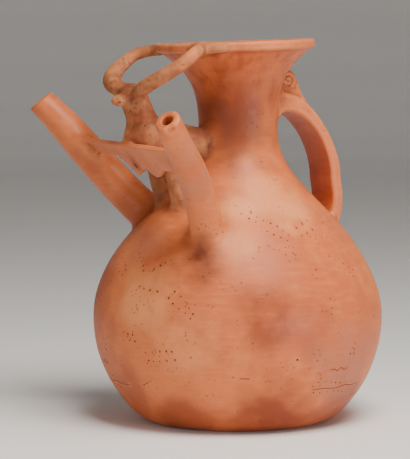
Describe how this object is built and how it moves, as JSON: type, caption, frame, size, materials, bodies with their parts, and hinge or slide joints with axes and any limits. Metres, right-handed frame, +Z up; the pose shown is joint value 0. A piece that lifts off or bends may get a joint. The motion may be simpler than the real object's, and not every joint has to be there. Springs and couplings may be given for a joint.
{
  "type": "spouted jar",
  "caption": "Pear-shaped terracotta jar with a flaring mouth, tube spouts tied by a broken web, a horned animal between them and a strap handle.",
  "frame": {"origin": "centre of the flat underside, on the axis of the turned body", "axes": "+Z up along the body's axis, -Y towards the horned animal between the spouts, +Y towards the handle, +X towards the chipped spout"},
  "size_m": [0.2493, 0.2473, 0.3055],
  "materials": {
    "burnished_clay": "burnished orange-brown terracotta, worn and stained, semi-matt"
  },
  "bodies": {
    "root": {"spouted_jar": "burnished_clay"}
  },
  "joints": []
}
